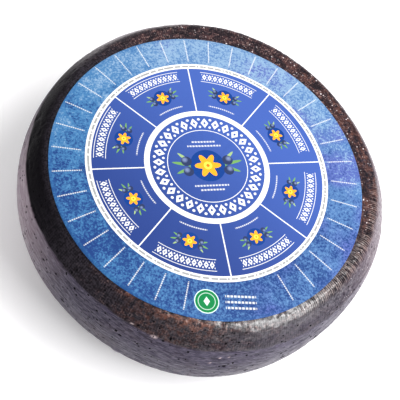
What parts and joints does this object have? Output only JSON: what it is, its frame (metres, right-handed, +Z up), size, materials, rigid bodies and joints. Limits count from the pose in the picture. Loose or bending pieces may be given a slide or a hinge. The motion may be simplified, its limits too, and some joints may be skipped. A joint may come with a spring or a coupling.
{
  "type": "cheese wheel",
  "caption": "Whole uncut wheel of semi-hard cheese with a dark brushed rind and a round blue paper label on its upper face.",
  "frame": {"origin": "middle of the base that the wheel lies on", "axes": "+Z up through the wheel's axis and out of the labelled face; +Y is the label's upright direction"},
  "size_m": [0.2597, 0.2635, 0.0906],
  "materials": {
    "rind": "dark brown-black cheese rind, brushed, with a low waxy sheen",
    "paper": "printed paper, smooth, in mottled blue with white rules"
  },
  "bodies": {
    "root": {"cheese_wheel": "rind", "label": "paper"}
  },
  "joints": []
}
